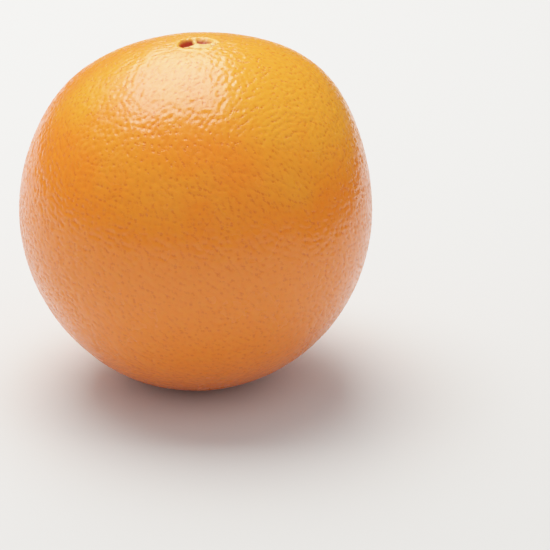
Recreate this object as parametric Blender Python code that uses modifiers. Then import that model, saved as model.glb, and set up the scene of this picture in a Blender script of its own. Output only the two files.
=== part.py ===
"""A whole sweet orange, picked and with its button fallen off, standing stem end up on a small flat.

The fruit grew as one piece, so it is one solid. Half its outline is turned about the fruit's axis, and
uneven swellings then push the turned body out of round. Where the button sat, five ridges of a star are
left standing between pockets in a shallow socket.

Metres, +Z up. The origin is the centre of the resting flat at the blossom end.
"""

from math import acos, cos, exp, pi, radians, sin

import bpy
from mathutils import Matrix, Vector

# Size of the turned body
EQUATOR_RADIUS = 0.0402
POLE_RADIUS = 0.0406
REST_RADIUS = 0.0075

# The stem end: a broad shallow basin, and in it the socket that the button left
BASIN_DEPTH = 0.0006
BASIN_RADIUS = 0.0090
SOCKET_DEPTH = 0.0011
SOCKET_RADIUS = 0.0040

# The star in the socket: the bearings of its ridges, counted from +X towards +Y
RIDGE_BEARINGS = (33, 93, 190, 245, 325)
RIDGE_WIDTH = 0.0006
POCKET_REACH = 0.0021
POCKET_LENGTH = 0.0022
POCKET_DEPTH = 0.0014

# Swellings: bearing and latitude of the middle in degrees, height as a share of the radius, spread in degrees
SWELLINGS = (
    (30, 42, 0.078, 18),
    (160, 43, 0.022, 13),
    (270, 30, 0.012, 24),
    (85, 10, 0.010, 26),
    (175, -35, -0.022, 30),
)
SETTLE_HEIGHT = 0.012

# How finely the body is turned
TURN_STEPS = 64
OUTLINE_STEPS = 44
OUTLINE_CROWDING = 1.5
CUTTER_SEGMENTS = 12
CUTTER_RINGS = 8
MERGE_DISTANCE = 0.00001

# Peel: colour is linear red, green, blue and alpha
PEEL_COLOUR = (0.78, 0.29, 0.035, 1.0)
PEEL_ROUGHNESS = 0.42

# The flat cuts a little off the blossom end, so the middle of the fruit is lower than its polar radius
REST_ANGLE = pi - acos((1 - (REST_RADIUS / EQUATOR_RADIUS) ** 2) ** 0.5)
MIDDLE = Vector((0, 0, -POLE_RADIUS * cos(REST_ANGLE)))


def clear_scene():
    """Remove every object that is already in the scene."""
    for thing in list(bpy.data.objects):
        bpy.data.objects.remove(thing)


def new_collection(name):
    """A collection linked to the scene."""
    collection = bpy.data.collections.new(name)
    bpy.context.scene.collection.children.link(collection)
    return collection


def peel_material():
    """The orange peel, waxy and dielectric."""
    material = bpy.data.materials.new("peel")
    material.use_nodes = True
    shader = material.node_tree.nodes["Principled BSDF"]
    shader.inputs["Base Color"].default_value = PEEL_COLOUR
    shader.inputs["Roughness"].default_value = PEEL_ROUGHNESS
    shader.inputs["Metallic"].default_value = 0.0
    return material


def socket_drop(radius):
    """How far the socket's round bowl lies below the basin at this distance from the axis."""
    if radius >= SOCKET_RADIUS:
        return 0.0
    return SOCKET_DEPTH * (1 + cos(pi * radius / SOCKET_RADIUS)) / 2


def outline_point(angle):
    """The point of the half outline at this angle from the stem end."""
    radius = EQUATOR_RADIUS * sin(angle)
    height = MIDDLE.z + POLE_RADIUS * cos(angle)
    if angle < pi / 2:
        height -= BASIN_DEPTH * exp(-((radius / BASIN_RADIUS) ** 2))
        height -= socket_drop(radius)
    return Vector((radius, 0, height))


def half_outline():
    """Points from the middle of the socket, down the +X side, to the middle of the resting flat."""
    points = [outline_point(0.0)]
    for step in range(1, OUTLINE_STEPS):
        share = (step / OUTLINE_STEPS) ** OUTLINE_CROWDING
        points.append(outline_point(REST_ANGLE * share))
    points.append(Vector((REST_RADIUS, 0, 0)))
    points.append(Vector((0, 0, 0)))
    return points


def turned_body(collection):
    """The half outline turned about the Z axis, as a closed mesh."""
    points = half_outline()
    edges = [(i, i + 1) for i in range(len(points) - 1)]
    outline = bpy.data.meshes.new("outline")
    outline.from_pydata(points, edges, [])
    lathe = bpy.data.objects.new("outline", outline)
    collection.objects.link(lathe)

    turn = lathe.modifiers.new("turn", "SCREW")
    turn.axis = "Z"
    turn.steps = TURN_STEPS
    turn.render_steps = TURN_STEPS
    turn.use_merge_vertices = True
    turn.merge_threshold = MERGE_DISTANCE

    evaluated = lathe.evaluated_get(bpy.context.evaluated_depsgraph_get())
    body = bpy.data.meshes.new_from_object(evaluated)
    bpy.data.objects.remove(lathe)
    return body


def direction(bearing, latitude):
    """The unit vector with this bearing from +X towards +Y and this height above the equator, in degrees."""
    across = cos(radians(latitude))
    return Vector((across * cos(radians(bearing)), across * sin(radians(bearing)), sin(radians(latitude))))


def swelling_at(spoke):
    """How far the swellings push the skin out along this spoke, as a share of its length."""
    heading = spoke.normalized()
    total = 0.0
    for bearing, latitude, height, spread in SWELLINGS:
        closeness = heading.dot(direction(bearing, latitude)) - 1
        total += height * exp(closeness / radians(spread) ** 2)
    return total


def grow_uneven(body):
    """Push the skin out along its spokes, fading to nothing at the resting flat, which stays flat and round."""
    for vertex in body.vertices:
        rise = min(vertex.co.z / SETTLE_HEIGHT, 1.0)
        settled = rise * rise * (3 - 2 * rise)
        spoke = vertex.co - MIDDLE
        vertex.co += spoke * swelling_at(spoke) * settled


def add_pocket_cutter(start, end, collection):
    """An egg-shaped cutter that fills the gap between two neighbouring ridges of the star."""
    bearing = radians(start + end) / 2
    half_gap = radians(end - start) / 2
    width = min(2 * POCKET_REACH * sin(half_gap), POCKET_LENGTH) - RIDGE_WIDTH
    floor = outline_point(POCKET_REACH / EQUATOR_RADIUS).z

    bpy.ops.mesh.primitive_uv_sphere_add(segments=CUTTER_SEGMENTS, ring_count=CUTTER_RINGS, radius=0.5)
    cutter = bpy.context.object
    cutter.name = f"pocket_cutter_{round((start + end) / 2)}"
    size = Matrix.Diagonal((POCKET_LENGTH, width, POCKET_DEPTH, 1))
    place = Matrix.Translation((POCKET_REACH * cos(bearing), POCKET_REACH * sin(bearing), floor))
    cutter.data.transform(place @ Matrix.Rotation(bearing, 4, "Z") @ size)
    cutter.hide_render = True
    cutter.display_type = "WIRE"
    bpy.context.scene.collection.objects.unlink(cutter)
    collection.objects.link(cutter)


def make_cutters():
    """One cutter for each gap between neighbouring ridges, in a collection of their own."""
    cutters = new_collection("cutters")
    layer = bpy.context.view_layer
    layer.active_layer_collection = layer.layer_collection
    following = RIDGE_BEARINGS[1:] + (RIDGE_BEARINGS[0] + 360,)
    for start, end in zip(RIDGE_BEARINGS, following):
        add_pocket_cutter(start, end, cutters)
    return cutters


def make_orange():
    """The whole fruit: the turned body, grown uneven, with the pockets of its scar cut in."""
    fruit = new_collection("orange")
    body = turned_body(fruit)
    grow_uneven(body)
    body.materials.append(peel_material())
    body.shade_smooth()

    orange = bpy.data.objects.new("orange", body)
    fruit.objects.link(orange)
    cut = orange.modifiers.new("pockets", "BOOLEAN")
    cut.operation = "DIFFERENCE"
    cut.solver = "EXACT"
    cut.operand_type = "COLLECTION"
    cut.collection = make_cutters()


clear_scene()
make_orange()
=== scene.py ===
"""The looks of a whole sweet orange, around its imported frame.

The peel is one closed skin. A cube with gridded faces is blown up to a ball and then to the fruit's shape,
so its grid is even all over, with a finer patch at the stem end for the scar where the button sat. Geometry
Nodes press the pits of the oil glands into it. A pale floor, softboxes overhead and a pale room show it.
"""

from math import acos, cos, pi, radians, sin

import bmesh
import bpy
import numpy as np
from bpy.props import FloatProperty, FloatVectorProperty, IntProperty, PointerProperty
from bpy.types import Operator, Panel, PropertyGroup
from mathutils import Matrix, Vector


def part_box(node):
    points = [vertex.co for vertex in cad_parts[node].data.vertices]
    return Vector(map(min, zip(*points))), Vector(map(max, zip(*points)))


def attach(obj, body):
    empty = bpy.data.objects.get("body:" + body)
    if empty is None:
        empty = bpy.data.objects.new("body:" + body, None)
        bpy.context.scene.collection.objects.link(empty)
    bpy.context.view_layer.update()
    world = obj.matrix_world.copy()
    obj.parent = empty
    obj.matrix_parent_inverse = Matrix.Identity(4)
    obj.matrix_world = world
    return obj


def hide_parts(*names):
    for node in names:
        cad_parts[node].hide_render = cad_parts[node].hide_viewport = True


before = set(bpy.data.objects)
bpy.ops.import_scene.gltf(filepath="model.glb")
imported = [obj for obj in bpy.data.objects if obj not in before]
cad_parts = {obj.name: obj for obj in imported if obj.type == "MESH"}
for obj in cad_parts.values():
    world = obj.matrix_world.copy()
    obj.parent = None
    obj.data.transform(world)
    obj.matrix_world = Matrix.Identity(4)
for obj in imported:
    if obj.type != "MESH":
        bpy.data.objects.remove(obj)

bl_info = {
    "name": "Sweet Orange",
    "version": (1, 0, 0),
    "blender": (4, 5, 0),
    "location": "View3D > Sidebar > Orange",
    "description": "Makes the pitted peel of a whole orange on its frame, and a studio to show it in",
    "category": "Object",
}

NODE = "orange"
LOWEST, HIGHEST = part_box(NODE)
FRUIT_MIDDLE = (LOWEST + HIGHEST) / 2

# Swellings of the fruit: bearing from +X towards +Y and latitude of the middle in degrees, height as a share
# of the radius, spread in degrees. They fade to nothing below the settle height.
SWELLINGS = (
    (30, 42, 0.078, 18),
    (160, 43, 0.022, 13),
    (270, 30, 0.012, 24),
    (85, 10, 0.010, 26),
    (175, -35, -0.022, 30),
)
SETTLE_HEIGHT = 0.012

# Pockets of the scar: bearing of the middle and half width in degrees, inner and outer radius and depth in
# metres. The first two are deep, the third is a notch and the last two are shallow grooves.
POCKETS = (
    (153, 46, 0.0006, 0.0041, 0.0011),
    (62, 33, 0.0006, 0.0040, 0.0010),
    (4, 14, 0.0029, 0.0041, 0.0008),
    (222, 27, 0.0016, 0.0040, 0.0005),
    (286, 25, 0.0018, 0.0040, 0.0004),
)
DEEPEST = max(pocket[-1] for pocket in POCKETS)

# How wide the slope at a pocket's edge is, and how far to the right of the axis the scar sits, in metres
POCKET_EDGE = 0.0004
SCAR_ASIDE = 0.0009

# What the peel carries for its material: the middle of the nearest pit and how far off it is, and how much
# each point is cork, pocket (for the pockets' painted shade) or pale halo
PIT_CENTRE = "pit_centre"
PIT_REACH = "pit_reach"
CORK = "cork"
POCKET_SHADE = "pocket"
HALO = "halo"
BAKE_MAP = "OFBake"


class OrangeShape(PropertyGroup):
    """Sizes of the fruit and its skin."""

    equator_radius: FloatProperty(
        name="Equator radius", description="Radius of the turned body", default=0.0402, unit="LENGTH"
    )
    pole_radius: FloatProperty(
        name="Pole radius", description="Middle of the fruit to the stem end", default=0.0406, unit="LENGTH"
    )
    rest_radius: FloatProperty(
        name="Rest radius", description="Radius of the flat it stands on", default=0.0075, unit="LENGTH"
    )
    basin_depth: FloatProperty(
        name="Basin depth", description="Dip round the scar", default=0.0006, unit="LENGTH"
    )
    basin_radius: FloatProperty(
        name="Basin radius", description="Reach of the dip round the scar", default=0.009, unit="LENGTH"
    )
    scar_radius: FloatProperty(
        name="Scar radius", description="Radius of the scar of the button", default=0.0041, unit="LENGTH"
    )
    scar_depth: FloatProperty(
        name="Scar depth", description="Depth of the scar's cork below its rim", default=0.0005, unit="LENGTH"
    )
    divisions: IntProperty(
        name="Divisions", description="Grid squares along one side of the ball's six faces", default=122
    )
    pit_spacing: FloatProperty(
        name="Pit spacing", description="Least distance between pits", default=0.00115, unit="LENGTH"
    )
    pit_width: FloatProperty(
        name="Pit width", description="Radius of a middling pit", default=0.00062, unit="LENGTH"
    )
    pit_depth: FloatProperty(
        name="Pit depth", description="Depth of a middling pit", default=0.00020, unit="LENGTH"
    )
    seed: IntProperty(name="Seed", description="Where the pits fall", default=7)


class OrangeColours(PropertyGroup):
    """Linear colours of the skin and the scar."""

    # Partly painted light: this colour comes in towards the top and stands for the lit top as well as the
    # sunny side
    sunny_and_top_lit: FloatVectorProperty(
        name="Sunny", description="Skin on the side that grew in the sun", subtype="COLOR",
        default=(0.85, 0.285, 0.018), min=0, max=1,
    )
    # Partly the skin's own colour and partly painted shade: the lower, less lit skin keeps this deeper colour
    deep: FloatVectorProperty(
        name="Deep", description="Skin on the shaded side", subtype="COLOR",
        default=(0.87, 0.184, 0.009), min=0, max=1,
    )
    # Painted shade: the darker floor of each pit
    pit: FloatVectorProperty(
        name="Pit", description="Floor of a pit", subtype="COLOR",
        default=(0.62, 0.11, 0.006), min=0, max=1,
    )
    cork: FloatVectorProperty(
        name="Cork", description="Ridges and middle of the scar", subtype="COLOR",
        default=(0.74, 0.40, 0.11), min=0, max=1,
    )
    # Painted shade: the dark red-brown of the scar's pockets and grooves, stronger where they are deeper
    pocket: FloatVectorProperty(
        name="Pocket", description="Pockets between the ridges of the scar", subtype="COLOR",
        default=(0.42, 0.036, 0.010), min=0, max=1,
    )
    halo: FloatVectorProperty(
        name="Halo", description="Pale skin round the scar", subtype="COLOR",
        default=(0.86, 0.38, 0.06), min=0, max=1,
    )


class OrangeStudio(PropertyGroup):
    """Sizes and brightness of the stage."""

    elevation: FloatProperty(
        name="Elevation", description="Camera height above the horizon", default=radians(22), subtype="ANGLE"
    )
    distance: FloatProperty(
        name="Distance", description="Camera to the fruit's middle", default=0.694, unit="LENGTH"
    )
    lens: FloatProperty(name="Lens", description="Focal length in millimetres", default=200)
    aside: FloatProperty(
        name="Aside", description="How far right of the fruit the camera is", default=0.01795, unit="LENGTH"
    )
    below: FloatProperty(
        name="Below", description="How far the camera aims below the fruit", default=0.0144, unit="LENGTH"
    )
    softbox_radiance: FloatProperty(
        name="Softbox", description="Brightness of the nearest softbox's face", default=6.3
    )
    fill_radiance: FloatProperty(name="Fill", description="Brightness of the fill in front", default=0.15)
    room: FloatProperty(name="Room", description="Brightness of the pale room", default=0.55)
    dark: FloatProperty(name="Dark", description="Brightness of the room in reflections", default=0.10)


# ---------------------------------------------------------------------------------------------------------
# Node helpers
# ---------------------------------------------------------------------------------------------------------


def add_node(tree, kind, **settings):
    """A node of this kind with these settings."""
    node = tree.nodes.new(kind)
    for name, value in settings.items():
        setattr(node, name, value)
    return node


def join(tree, source, target):
    """Link an output socket to an input socket."""
    tree.links.new(source, target)


def math_node(tree, operation, first, second=None):
    """A Math node whose inputs are sockets or numbers; returns its output."""
    node = add_node(tree, "ShaderNodeMath", operation=operation)
    for slot, value in enumerate((first, second)):
        if value is None:
            continue
        if isinstance(value, (int, float)):
            node.inputs[slot].default_value = value
        else:
            join(tree, value, node.inputs[slot])
    return node.outputs[0]


def map_range(tree, value, low, high, to_low=0.0, to_high=1.0, smooth=True):
    """The value taken from low..high to to_low..to_high, eased at both ends if smooth."""
    node = add_node(tree, "ShaderNodeMapRange")
    node.interpolation_type = "SMOOTHSTEP" if smooth else "LINEAR"
    join(tree, value, node.inputs["Value"])
    for name, number in (("From Min", low), ("From Max", high), ("To Min", to_low), ("To Max", to_high)):
        if isinstance(number, (int, float)):
            node.inputs[name].default_value = number
        else:
            join(tree, number, node.inputs[name])
    return node.outputs["Result"]


def noise(tree, place, scale, detail=2.0):
    """A 3D noise texture at a place; returns its 0..1 value."""
    node = add_node(tree, "ShaderNodeTexNoise", noise_dimensions="3D")
    node.inputs["Scale"].default_value = scale
    node.inputs["Detail"].default_value = detail
    join(tree, place, node.inputs["Vector"])
    return node.outputs["Fac"]


def mix_colour(tree, share, first, second):
    """Two colours, sockets or values, mixed by a share; returns the result."""
    node = add_node(tree, "ShaderNodeMix", data_type="RGBA")
    join(tree, share, node.inputs[0])
    for slot, value in ((6, first), (7, second)):
        if isinstance(value, bpy.types.NodeSocket):
            join(tree, value, node.inputs[slot])
        else:
            node.inputs[slot].default_value = (*value, 1)
    return node.outputs[2]


def attribute(tree, name):
    """A number that the skin carries; returns its output."""
    return add_node(tree, "ShaderNodeAttribute", attribute_name=name).outputs["Fac"]


# ---------------------------------------------------------------------------------------------------------
# The shape of the fruit
# ---------------------------------------------------------------------------------------------------------

# How many times closer the grid is at the stem end, and over what angle that fades
CROWDING = 2.0
CROWDED_ANGLE = radians(16)

# On the cube of side 2: how far the patch of halved squares reaches from the middle of the top, and the
# height above which a point is on top
FINE_PATCH = 0.19
TOP_OF_CUBE = 0.999

# The net of the cube: axis and sign of each face in turn, and the margin round each as a share of its side
CUBE_SIDES = ((0, 1), (0, -1), (1, 1), (1, -1), (2, 1), (2, -1))
NET_COLUMNS = 3
NET_MARGIN = 0.008

# How gently the skin rounds into the resting flat, in metres
FLAT_SOFTNESS = 0.00015


def smooth_share(value, low, high):
    """0 at low and under, 1 at high and over, eased between."""
    share = np.clip((value - low) / (high - low), 0, 1)
    return share * share * (3 - 2 * share)


def gridded_cube(divisions):
    """A cube of side 2 with gridded faces, finer round the middle of its top, and its faces' net as UVs."""
    cube = bmesh.new()
    bmesh.ops.create_cube(cube, size=2)
    bmesh.ops.subdivide_edges(cube, edges=cube.edges, cuts=divisions - 1, use_grid_fill=True)
    patch = [
        edge for edge in cube.edges
        if all(vert.co.z > TOP_OF_CUBE and vert.co.xy.length < FINE_PATCH for vert in edge.verts)
    ]
    bmesh.ops.subdivide_edges(cube, edges=patch, cuts=1, use_grid_fill=True)

    layer = cube.loops.layers.uv.new(BAKE_MAP)
    for face in cube.faces:
        middle = face.calc_center_median()
        side = max(range(3), key=lambda i: abs(middle[i]))
        number = CUBE_SIDES.index((side, 1 if middle[side] > 0 else -1))
        column, row = number % NET_COLUMNS, number // NET_COLUMNS
        across, up = (i for i in range(3) if i != side)
        for loop in face.loops:
            place = loop.vert.co
            u = NET_MARGIN + (1 - 2 * NET_MARGIN) * (place[across] + 1) / 2
            v = NET_MARGIN + (1 - 2 * NET_MARGIN) * (place[up] + 1) / 2
            loop[layer].uv = ((column + u) / NET_COLUMNS, (row + v) / NET_COLUMNS)
    mesh = bpy.data.meshes.new("peel")
    cube.to_mesh(mesh)
    cube.free()
    return mesh


def ball_angles(places):
    """The angle from the stem end and the bearing of each point of the cube, spread evenly over a ball."""
    spread = np.tan(places * pi / 4)
    spread /= np.linalg.norm(spread, axis=1, keepdims=True)
    angle = np.arccos(np.clip(spread[:, 2], -1, 1))
    bearing = np.arctan2(spread[:, 1], spread[:, 0])
    crowd = (1 - 1 / CROWDING) * np.exp(-((angle / CROWDED_ANGLE) ** 2))
    return angle * (1 - crowd), bearing


def swelling_at(headings):
    """How far the swellings push the skin out along these headings, as a share of the radius."""
    total = np.zeros(len(headings))
    for bearing, latitude, height, spread in SWELLINGS:
        across = cos(radians(latitude))
        middle = (across * cos(radians(bearing)), across * sin(radians(bearing)), sin(radians(latitude)))
        total += height * np.exp((headings @ np.array(middle) - 1) / radians(spread) ** 2)
    return total


def fruit_places(angle, bearing, shape):
    """Where the skin lies at each angle from the stem end and bearing, before the scar and the pits."""
    rest_angle = pi - acos((1 - (shape.rest_radius / shape.equator_radius) ** 2) ** 0.5)
    middle = np.array((0, 0, -shape.pole_radius * cos(rest_angle)))
    radius = shape.equator_radius * np.sin(angle)
    height = middle[2] + shape.pole_radius * np.cos(angle)
    basin = shape.basin_depth * np.exp(-((radius / shape.basin_radius) ** 2))
    height -= np.where(angle < pi / 2, basin, 0)
    height = (height + np.sqrt(height ** 2 + FLAT_SOFTNESS ** 2)) / 2
    places = np.stack((radius * np.cos(bearing), radius * np.sin(bearing), height), axis=1)

    spokes = places - middle
    headings = spokes / np.linalg.norm(spokes, axis=1, keepdims=True)
    settled = smooth_share(places[:, 2], 0, SETTLE_HEIGHT)
    return places + spokes * (swelling_at(headings) * settled)[:, None]


# The rim of the scar waves in and out: waves in one turn, their phase in radians and height as a share of the
# rim's radius. Inside the rim, cork comes in over its edge.
RIM_WAVES = ((2, -0.7, 0.04), (5, 0.4, 0.03))
CORK_EDGE = 0.0005

# The raised lip, at this share of the rim's radius, and the pale halo along the rim
LIP_PLACE = 1.1
LIP_HEIGHT = 0.00012
LIP_WIDTH = 0.0006
HALO_WIDTH = 0.0011

# The boss in the middle of the scar, as high as this share of the scar's depth
BOSS_RADIUS = 0.0011
BOSS_SHARE = 0.7

# The mark where the blossom sat, under the fruit
BLOSSOM_RADIUS = 0.0016
BLOSSOM_DEPTH = 0.0004


def pocket_depth(radius, bearing):
    """How deep the pockets are at each point of the scar."""
    depth = np.zeros(len(radius))
    for middle, half_width, inner, outer, full_depth in POCKETS:
        off = np.abs((np.degrees(bearing) - middle + 180) % 360 - 180)
        from_wall = np.radians(half_width - off) * radius
        here = smooth_share(from_wall, 0, POCKET_EDGE)
        here *= smooth_share(radius, inner, inner + POCKET_EDGE)
        here *= smooth_share(outer - radius, 0, POCKET_EDGE)
        depth = np.maximum(depth, here * full_depth)
    return depth


def press_scar(places, shape):
    """Press the scar and the blossom end's mark into the skin; returns what the material needs to know."""
    top = places[:, 2] > FRUIT_MIDDLE.z
    across = places[:, 0] - SCAR_ASIDE * top
    radius = np.hypot(across, places[:, 1])
    bearing = np.arctan2(places[:, 1], across)
    wobble = 1 + sum(height * np.cos(waves * bearing + turn) for waves, turn, height in RIM_WAVES)
    rim = shape.scar_radius * wobble
    cork = smooth_share(rim - radius, 0, CORK_EDGE) * top
    boss = BOSS_SHARE * np.exp(-((radius / BOSS_RADIUS) ** 2))
    depth = pocket_depth(radius / wobble, bearing)
    lip = np.exp(-(((radius - rim * LIP_PLACE) / LIP_WIDTH) ** 2)) * top
    places[:, 2] += LIP_HEIGHT * lip - shape.scar_depth * cork * (1 - boss) - depth * top

    blossom = smooth_share(BLOSSOM_RADIUS - radius, 0, BLOSSOM_RADIUS) * ~top
    places[:, 2] += BLOSSOM_DEPTH * blossom
    halo = np.exp(-(((radius - rim) / HALO_WIDTH) ** 2)) * top
    # The pockets' depth share carries their painted shade
    return {CORK: np.maximum(cork, blossom), POCKET_SHADE: depth / DEEPEST * top, HALO: halo}


# ---------------------------------------------------------------------------------------------------------
# The pits, pressed in by Geometry Nodes
# ---------------------------------------------------------------------------------------------------------

# Smallest and largest pit as shares of a middling one, and how many points are scattered for each square of
# the spacing before those that stand too close are dropped
PIT_SIZES = (0.55, 1.35)
CANDIDATES_PER_PIT = 6.0

# Lumps and longer waves of the skin: scale of the noise, and height in metres
LUMP_SCALE = 330.0
LUMP_HEIGHT = 0.00009
WAVE_SCALE = 75.0
WAVE_HEIGHT = 0.00022


def named_attribute(tree, name):
    """A number stored on the skin, inside Geometry Nodes."""
    node = add_node(tree, "GeometryNodeInputNamedAttribute", data_type="FLOAT")
    node.inputs["Name"].default_value = name
    return node.outputs["Attribute"]


def scatter_points(tree, given, bare):
    """Points spread evenly over the bare skin; returns them."""
    scatter = add_node(tree, "GeometryNodeDistributePointsOnFaces", distribute_method="POISSON")
    join(tree, given["Skin"], scatter.inputs["Mesh"])
    join(tree, given["Spacing"], scatter.inputs["Distance Min"])
    square = math_node(tree, "MULTIPLY", given["Spacing"], given["Spacing"])
    join(tree, math_node(tree, "DIVIDE", CANDIDATES_PER_PIT, square), scatter.inputs["Density Max"])
    join(tree, bare, scatter.inputs["Density Factor"])
    join(tree, given["Seed"], scatter.inputs["Seed"])
    return scatter.outputs["Points"]


def nearest_pit(tree, points, place):
    """The number of the point nearest to each place, where that point is, and how far off."""
    nearest = add_node(tree, "GeometryNodeSampleNearest", domain="POINT")
    join(tree, points, nearest.inputs["Geometry"])
    centre = add_node(tree, "GeometryNodeSampleIndex", data_type="FLOAT_VECTOR", domain="POINT")
    join(tree, points, centre.inputs["Geometry"])
    join(tree, place, centre.inputs["Value"])
    join(tree, nearest.outputs["Index"], centre.inputs["Index"])
    apart = add_node(tree, "ShaderNodeVectorMath", operation="DISTANCE")
    join(tree, place, apart.inputs[0])
    join(tree, centre.outputs["Value"], apart.inputs[1])
    return nearest.outputs["Index"], centre.outputs["Value"], apart.outputs["Value"]


def skin_relief(tree, place):
    """Lumps and waves, half of each above the skin's even surface and half below, in metres."""
    lumps = math_node(tree, "SUBTRACT", noise(tree, place, LUMP_SCALE), 0.5)
    waves = math_node(tree, "SUBTRACT", noise(tree, place, WAVE_SCALE), 0.5)
    relief = math_node(tree, "MULTIPLY", lumps, LUMP_HEIGHT)
    return math_node(tree, "ADD", relief, math_node(tree, "MULTIPLY", waves, WAVE_HEIGHT))


def pit_tree():
    """Geometry Nodes that scatter pits evenly over a skin and press each one in by its own size."""
    tree = bpy.data.node_groups.new("peel_pits", "GeometryNodeTree")
    sockets = (
        ("Skin", "INPUT", "NodeSocketGeometry"),
        ("Spacing", "INPUT", "NodeSocketFloat"),
        ("Width", "INPUT", "NodeSocketFloat"),
        ("Depth", "INPUT", "NodeSocketFloat"),
        ("Seed", "INPUT", "NodeSocketInt"),
        ("Material", "INPUT", "NodeSocketMaterial"),
        ("Skin", "OUTPUT", "NodeSocketGeometry"),
    )
    for name, way, kind in sockets:
        tree.interface.new_socket(name, in_out=way, socket_type=kind)
    given = add_node(tree, "NodeGroupInput").outputs

    bare = math_node(tree, "SUBTRACT", 1.0, named_attribute(tree, CORK))
    place = add_node(tree, "GeometryNodeInputPosition").outputs["Position"]
    number, centre, apart = nearest_pit(tree, scatter_points(tree, given, bare), place)

    size = add_node(tree, "FunctionNodeRandomValue", data_type="FLOAT")
    size.inputs[2].default_value = min(PIT_SIZES)
    size.inputs[3].default_value = max(PIT_SIZES)
    join(tree, number, size.inputs["ID"])
    join(tree, given["Seed"], size.inputs["Seed"])
    width = math_node(tree, "MULTIPLY", size.outputs[1], given["Width"])
    pit = map_range(tree, apart, 0.0, width, 1.0, 0.0)
    pit = math_node(tree, "MULTIPLY", pit, bare)

    drop = math_node(tree, "MULTIPLY", pit, given["Depth"])
    drop = math_node(tree, "MULTIPLY", drop, size.outputs[1])
    relief = math_node(tree, "MULTIPLY", skin_relief(tree, place), bare)
    rise = math_node(tree, "SUBTRACT", relief, drop)
    push = add_node(tree, "ShaderNodeVectorMath", operation="SCALE")
    join(tree, add_node(tree, "GeometryNodeInputNormal").outputs["Normal"], push.inputs[0])
    join(tree, rise, push.inputs["Scale"])

    skin = given["Skin"]
    for name, kind, value in ((PIT_CENTRE, "FLOAT_VECTOR", centre), (PIT_REACH, "FLOAT", apart)):
        store = add_node(tree, "GeometryNodeStoreNamedAttribute", data_type=kind, domain="POINT")
        join(tree, skin, store.inputs["Geometry"])
        store.inputs["Name"].default_value = name
        join(tree, value, store.inputs["Value"])
        skin = store.outputs["Geometry"]
    move = add_node(tree, "GeometryNodeSetPosition")
    join(tree, skin, move.inputs["Geometry"])
    join(tree, push.outputs["Vector"], move.inputs["Offset"])
    real = add_node(tree, "GeometryNodeRealizeInstances")
    join(tree, move.outputs["Geometry"], real.inputs["Geometry"])
    dress = add_node(tree, "GeometryNodeSetMaterial")
    join(tree, real.outputs["Geometry"], dress.inputs["Geometry"])
    join(tree, given["Material"], dress.inputs["Material"])
    join(tree, dress.outputs["Geometry"], add_node(tree, "NodeGroupOutput").inputs["Skin"])
    return tree


def press_pits(skin, material, shape):
    """Run the pit tree on the skin and keep its result as a plain mesh."""
    modifier = skin.modifiers.new("pits", "NODES")
    modifier.node_group = pit_tree()
    values = {
        "Spacing": shape.pit_spacing,
        "Width": shape.pit_width,
        "Depth": shape.pit_depth,
        "Seed": shape.seed,
        "Material": material,
    }
    for item in modifier.node_group.interface.items_tree:
        if item.name in values:
            modifier[item.identifier] = values[item.name]
    evaluated = skin.evaluated_get(bpy.context.evaluated_depsgraph_get())
    pitted = bpy.data.meshes.new_from_object(evaluated)
    smooth = skin.data
    skin.modifiers.remove(modifier)
    skin.data = pitted
    bpy.data.meshes.remove(smooth)
    pitted.shade_smooth()


# ---------------------------------------------------------------------------------------------------------
# Materials
# ---------------------------------------------------------------------------------------------------------

# The part of a noise that holds most of its values
NOISE_MIDDLE = (0.3, 0.7)

# The sunny side, painted partly as the fruit's own sunny side and partly as painted light on its top: its
# heading, the heights along it between which deep skin turns sunny, and blotches that shift them by up to
# their reach
SUN_AND_TOP_LIGHT_HEADING = (0.20, 0.15, 0.97)
SUN_AND_TOP_LIGHT_HEIGHTS = (0.006, 0.040)
BLOTCH_SCALE = 38.0
BLOTCH_REACH = 0.012

# Sunny speckles: scale of the noise, the part of it that shows, and how strong the strongest is
SPECKLE_SCALE = 900.0
SPECKLE_RANGE = (0.35, 0.75)
SPECKLE_SHARE = 0.16

# The dot in each pit, used for painted shade and for a bump: radii where it is full and gone, and the same
# for the pit's reach, which limits it. Some dots are fainter: scale of the noise that picks them, the part of
# it that counts, and the faintest share. The painted shade is how much of the pit colour the strongest dot
# shows.
DOT_RADII = (0.00010, 0.00042)
DOT_LIMIT = (0.00042, 0.00056)
DOT_CHANGE = 700.0
DOT_CHOICE = (0.40, 0.66)
DOT_FAINTEST = 0.15
DOT_PAINTED_SHADE = 0.65

# The scar: how much of the halo's colour shows, and the depths, as shares of the deepest, between which the
# pockets' painted shade comes in
HALO_SHARE = 0.75
PAINTED_SHADE_DEPTHS = (0.1, 0.7)

# Wax and grain: scales of their noise, the wax's least and most roughness, what cork adds to it, and the
# grain's strength and depth in metres
WAX_SCALE = 120.0
WAX_ROUGHNESS = (0.22, 0.29)
CORK_ROUGHNESS = 0.3
GRAIN_SCALE = 1500.0
GRAIN_STRENGTH = 0.5
GRAIN_DEPTH = 0.00014

# What is the same all over the peel
PEEL_FINISH = {
    "Specular IOR Level": 0.3,
    "Coat Weight": 0.33,
    "Coat Roughness": 0.14,
    "Subsurface Weight": 0.10,
    "Subsurface Radius": (1.0, 0.35, 0.08),
    "Subsurface Scale": 0.0025,
}

# The floor's finish, its two tints and the scale of the noise between them, and the finish of the dark card
FLOOR_FINISH = {"Roughness": 0.9, "Specular IOR Level": 0.1}
FLOOR_TINTS = ((0.61, 0.61, 0.61), (0.63, 0.63, 0.63))
FLOOR_MOTTLE = 3.0
CARD_FINISH = {"Base Color": (0.02, 0.02, 0.02, 1), "Roughness": 0.9}


def new_material(name, finish):
    """A material with these values on its shader's own sockets; returns it, its node tree and its shader."""
    material = bpy.data.materials.new(name)
    material.use_nodes = True
    shader = material.node_tree.nodes["Principled BSDF"]
    for socket, value in finish.items():
        shader.inputs[socket].default_value = value
    return material, material.node_tree, shader


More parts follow.
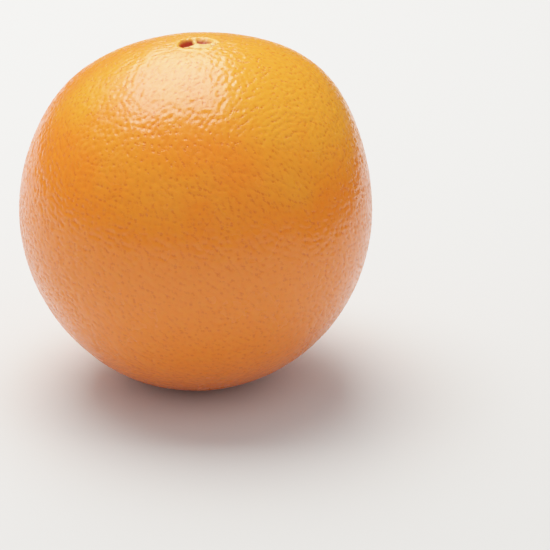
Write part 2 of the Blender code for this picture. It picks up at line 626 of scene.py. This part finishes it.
def pit_share(tree, place):
    """A round dot at each pit's centre, crisper than the skin's grid, for the painted shade in the pits and
    their bump; no dot where two pits meet.
    """
    centre = add_node(tree, "ShaderNodeAttribute", attribute_name=PIT_CENTRE).outputs["Vector"]
    apart = add_node(tree, "ShaderNodeVectorMath", operation="DISTANCE")
    join(tree, place, apart.inputs[0])
    join(tree, centre, apart.inputs[1])
    dot = map_range(tree, apart.outputs["Value"], *DOT_RADII, 1.0, 0.0)
    inside = map_range(tree, attribute(tree, PIT_REACH), *DOT_LIMIT, 1.0, 0.0)
    strength = map_range(tree, noise(tree, centre, DOT_CHANGE), *DOT_CHOICE, DOT_FAINTEST, 1.0)
    return math_node(tree, "MULTIPLY", math_node(tree, "MULTIPLY", dot, inside), strength)


def sun_and_top_light_share(tree, place):
    """How sunny the skin is at each place, partly its own sunny side and partly painted light on the top,
    with blotches along the line where it changes.
    """
    heading = add_node(tree, "ShaderNodeVectorMath", operation="SUBTRACT")
    join(tree, place, heading.inputs[0])
    heading.inputs[1].default_value = FRUIT_MIDDLE
    toward_sun_and_light = add_node(tree, "ShaderNodeVectorMath", operation="DOT_PRODUCT")
    join(tree, heading.outputs["Vector"], toward_sun_and_light.inputs[0])
    toward_sun_and_light.inputs[1].default_value = SUN_AND_TOP_LIGHT_HEADING
    blotches = noise(tree, place, BLOTCH_SCALE, detail=3.0)
    blotches = map_range(tree, blotches, *NOISE_MIDDLE, -BLOTCH_REACH, BLOTCH_REACH)
    height = math_node(tree, "ADD", toward_sun_and_light.outputs["Value"], blotches)
    return map_range(tree, height, *SUN_AND_TOP_LIGHT_HEIGHTS)


def skin_colour(tree, place, pit, colours):
    """Yellower towards the top, partly the sunny side and partly painted light, speckled, with painted shade
    in its pits, and a pale scar at the stem end with painted shade in its pockets.
    """
    speckle = map_range(tree, noise(tree, place, SPECKLE_SCALE), *SPECKLE_RANGE, 0.0, SPECKLE_SHARE)
    layers = (
        # Partly painted light: the top turns sunny, for the lit top as well as the sunny side
        (sun_and_top_light_share(tree, place), colours.sunny_and_top_lit),
        (speckle, colours.sunny_and_top_lit),
        # Painted shade in the pits
        (math_node(tree, "MULTIPLY", pit, DOT_PAINTED_SHADE), colours.pit),
        (math_node(tree, "MULTIPLY", attribute(tree, HALO), HALO_SHARE), colours.halo),
        (attribute(tree, CORK), colours.cork),
        # Painted shade in the scar's pockets and grooves, by their depth
        (map_range(tree, attribute(tree, POCKET_SHADE), *PAINTED_SHADE_DEPTHS), colours.pocket),
    )
    colour = colours.deep
    for share, layer in layers:
        colour = mix_colour(tree, share, colour, layer)
    return colour


def skin_roughness(tree, place):
    """Patchy wax, and dull cork in the scar."""
    wax = noise(tree, place, WAX_SCALE, detail=3.0)
    wax = map_range(tree, wax, *NOISE_MIDDLE, *WAX_ROUGHNESS, smooth=False)
    return math_node(tree, "ADD", wax, math_node(tree, "MULTIPLY", attribute(tree, CORK), CORK_ROUGHNESS))


def skin_grain(tree, place, pit):
    """Fine grain over the skin, and the crisp middle of each pit, as a normal."""
    grain = add_node(tree, "ShaderNodeBump")
    grain.inputs["Strength"].default_value = GRAIN_STRENGTH
    grain.inputs["Distance"].default_value = GRAIN_DEPTH
    join(tree, math_node(tree, "SUBTRACT", noise(tree, place, GRAIN_SCALE), pit), grain.inputs["Height"])
    return grain.outputs["Normal"]


def peel_material(colours):
    """Waxy, pitted orange skin with its scar."""
    material, tree, shader = new_material("peel", PEEL_FINISH)
    place = add_node(tree, "ShaderNodeTexCoord").outputs["Object"]
    pit = pit_share(tree, place)
    join(tree, skin_colour(tree, place, pit, colours), shader.inputs["Base Color"])
    join(tree, skin_roughness(tree, place), shader.inputs["Roughness"])
    join(tree, skin_grain(tree, place, pit), shader.inputs["Normal"])
    return material


def floor_material():
    """A plain pale matt floor."""
    material, tree, shader = new_material("pale_floor", FLOOR_FINISH)
    place = add_node(tree, "ShaderNodeTexCoord").outputs["Object"]
    join(tree, mix_colour(tree, noise(tree, place, FLOOR_MOTTLE), *FLOOR_TINTS), shader.inputs["Base Color"])
    return material


# ---------------------------------------------------------------------------------------------------------
# The stage
# ---------------------------------------------------------------------------------------------------------

FLOOR_SIZE = 8.0
FLOOR_SQUARES = 8
SENSOR_WIDTH = 36.0

# Softboxes overhead: middle, width and length in metres, brightness as a share of the nearest one
SOFTBOXES = (
    ("softbox_near", (-0.14, 0.19, 0.74), (0.62, 0.52), 1.0),
    ("softbox_mid", (-0.14, 0.65, 0.74), (0.54, 0.40), 0.70),
    ("softbox_far", (-0.14, 1.15, 0.74), (0.38, 0.60), 0.36),
    ("softbox_edge", (-0.62, 0.50, 0.74), (0.34, 0.90), 0.18),
)
WARM_WHITE = (1.0, 0.975, 0.90)

# The dark card: how far right it stands, its reach along Y and its height
CARD_PLACE = 0.25
CARD_LENGTH = (-0.10, 1.20)
CARD_HEIGHT = (0.0, 0.40)

# The fill in front, which lights the skin without a gleam of its own: middle and side in metres
FILL_PLACE = (0.35, -1.20, 0.80)
FILL_SIDE = 2.00

# How the camera takes bright light: what counts as white, and points of the curve up to it, for all three
# colours together
WHITE_LIGHT = 2.5
SHOULDER = ((0.28, 0.70), (0.44, 0.88), (0.64, 0.96))
ALL_COLOURS = 3


def show(thing):
    """Put an object in the scene."""
    bpy.context.scene.collection.objects.link(thing)


def stage_object(name, bm, material):
    """An object of the stage, made from a bmesh, which is freed."""
    mesh = bpy.data.meshes.new(name)
    bm.to_mesh(mesh)
    bm.free()
    mesh.materials.append(material)
    thing = bpy.data.objects.new(name, mesh)
    show(thing)
    return thing


def area_light(name, radiance, width, length):
    """A flat light of this size, as bright as its face should look; returns its object, hidden from view."""
    light = bpy.data.lights.new(name, "AREA")
    light.shape = "RECTANGLE"
    light.size = width
    light.size_y = length
    light.energy = radiance * pi * width * length
    thing = bpy.data.objects.new(name, light)
    thing.visible_camera = False
    show(thing)
    return thing


def add_floor():
    """A wide level floor that the fruit stands on."""
    bm = bmesh.new()
    bmesh.ops.create_grid(bm, x_segments=FLOOR_SQUARES, y_segments=FLOOR_SQUARES, size=FLOOR_SIZE / 2)
    stage_object("floor", bm, floor_material())


def add_dark_card():
    """A black card right of the fruit, seen only in reflections: it keeps the floor's gleam off that side."""
    (near, far), (bottom, top) = CARD_LENGTH, CARD_HEIGHT
    bm = bmesh.new()
    corners = ((near, bottom), (near, top), (far, top), (far, bottom))
    bm.faces.new([bm.verts.new((CARD_PLACE, y, z)) for y, z in corners])
    card = stage_object("dark_card", bm, new_material("dark_card", CARD_FINISH)[0])
    card.visible_camera = False
    card.visible_diffuse = False
    card.visible_shadow = False


def add_softboxes(studio):
    """A wide softbox overhead, reaching from above the fruit to well behind it and dimmer at its ends."""
    for name, place, size, share in SOFTBOXES:
        softbox = area_light(name, studio.softbox_radiance * share, *size)
        softbox.data.color = WARM_WHITE
        softbox.location = place


def add_fill(studio):
    """A broad soft light in front of the fruit and a little to its right."""
    fill = area_light("fill", studio.fill_radiance, FILL_SIDE, FILL_SIDE)
    fill.location = FILL_PLACE
    fill.rotation_euler = (FRUIT_MIDDLE - fill.location).to_track_quat("-Z", "Y").to_euler()
    fill.visible_glossy = False


def light_room(studio):
    """A pale room that lights the fruit evenly, and that reflections show as dark."""
    world = bpy.data.worlds.new("studio_room")
    world.use_nodes = True
    tree = world.node_tree
    background = tree.nodes["Background"]
    background.inputs["Color"].default_value = (1, 1, 1, 1)
    mirrored = add_node(tree, "ShaderNodeLightPath").outputs["Is Glossy Ray"]
    join(tree, map_range(tree, mirrored, 0.0, 1.0, studio.room, studio.dark), background.inputs["Strength"])
    bpy.context.scene.world = world


def soften_brightness():
    """Roll bright light off gently instead of clipping it."""
    view = bpy.context.scene.view_settings
    view.view_transform = "Standard"
    view.use_curve_mapping = True
    view.curve_mapping.white_level = (WHITE_LIGHT, WHITE_LIGHT, WHITE_LIGHT)
    points = view.curve_mapping.curves[ALL_COLOURS].points
    for place in SHOULDER:
        points.new(*place)
    view.curve_mapping.update()


def add_camera(studio):
    """A long lens that looks along +Y and down on the fruit."""
    camera = bpy.data.cameras.new("camera")
    camera.lens = studio.lens
    camera.sensor_width = SENSOR_WIDTH
    viewer = bpy.data.objects.new("camera", camera)
    tilt = studio.elevation
    back = Vector((0, -cos(tilt), sin(tilt)))
    up = Vector((0, sin(tilt), cos(tilt)))
    aside = Vector((studio.aside, 0, 0))
    viewer.location = FRUIT_MIDDLE + back * studio.distance + aside - up * studio.below
    viewer.rotation_euler = (pi / 2 - tilt, 0, 0)
    show(viewer)
    bpy.context.scene.camera = viewer


# ---------------------------------------------------------------------------------------------------------
# Operators and panel
# ---------------------------------------------------------------------------------------------------------


class ORANGE_OT_peel(Operator):
    """Make the whole pitted peel with its scars, in place of the plain solid."""

    bl_idname = "orange.peel"
    bl_label = "Peel"

    def execute(self, context):
        shape = context.scene.orange_shape
        mesh = gridded_cube(shape.divisions)
        places = np.empty(len(mesh.vertices) * 3)
        mesh.vertices.foreach_get("co", places)
        angle, bearing = ball_angles(places.reshape(-1, 3))
        places = fruit_places(angle, bearing, shape)
        marks = press_scar(places, shape)
        mesh.vertices.foreach_set("co", places.ravel())
        for name, values in marks.items():
            mesh.attributes.new(name, "FLOAT", "POINT").data.foreach_set("value", values)
        mesh.update()

        peel = bpy.data.objects.new("peel", mesh)
        show(peel)
        press_pits(peel, peel_material(context.scene.orange_colours), shape)
        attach(peel, "root")
        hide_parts(NODE)
        return {"FINISHED"}


class ORANGE_OT_stage(Operator):
    """Set up the floor, the card, the lights, the room and the camera."""

    bl_idname = "orange.stage"
    bl_label = "Stage"

    def execute(self, context):
        studio = context.scene.orange_studio
        soften_brightness()
        add_floor()
        add_dark_card()
        add_softboxes(studio)
        add_fill(studio)
        light_room(studio)
        add_camera(studio)
        return {"FINISHED"}


class ORANGE_PT_panel(Panel):
    """The steps, in the order in which they are run."""

    bl_idname = "ORANGE_PT_panel"
    bl_label = "Orange"
    bl_space_type = "VIEW_3D"
    bl_region_type = "UI"
    bl_category = "Orange"

    def draw(self, context):
        groups = (
            (ORANGE_OT_peel, context.scene.orange_shape),
            (ORANGE_OT_peel, context.scene.orange_colours),
            (ORANGE_OT_stage, context.scene.orange_studio),
        )
        for operator, group in groups:
            box = self.layout.box()
            for name in group.__annotations__:
                box.prop(group, name)
            box.operator(operator.bl_idname)


CLASSES = (OrangeShape, OrangeColours, OrangeStudio, ORANGE_OT_peel, ORANGE_OT_stage, ORANGE_PT_panel)


def register():
    for cls in CLASSES:
        bpy.utils.register_class(cls)
    bpy.types.Scene.orange_shape = PointerProperty(type=OrangeShape)
    bpy.types.Scene.orange_colours = PointerProperty(type=OrangeColours)
    bpy.types.Scene.orange_studio = PointerProperty(type=OrangeStudio)


def unregister():
    del bpy.types.Scene.orange_studio
    del bpy.types.Scene.orange_colours
    del bpy.types.Scene.orange_shape
    for cls in reversed(CLASSES):
        bpy.utils.unregister_class(cls)


def main():
    """Make everything in order."""
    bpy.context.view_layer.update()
    register()
    bpy.ops.orange.stage()
    bpy.ops.orange.peel()


if __name__ == "__main__":
    main()
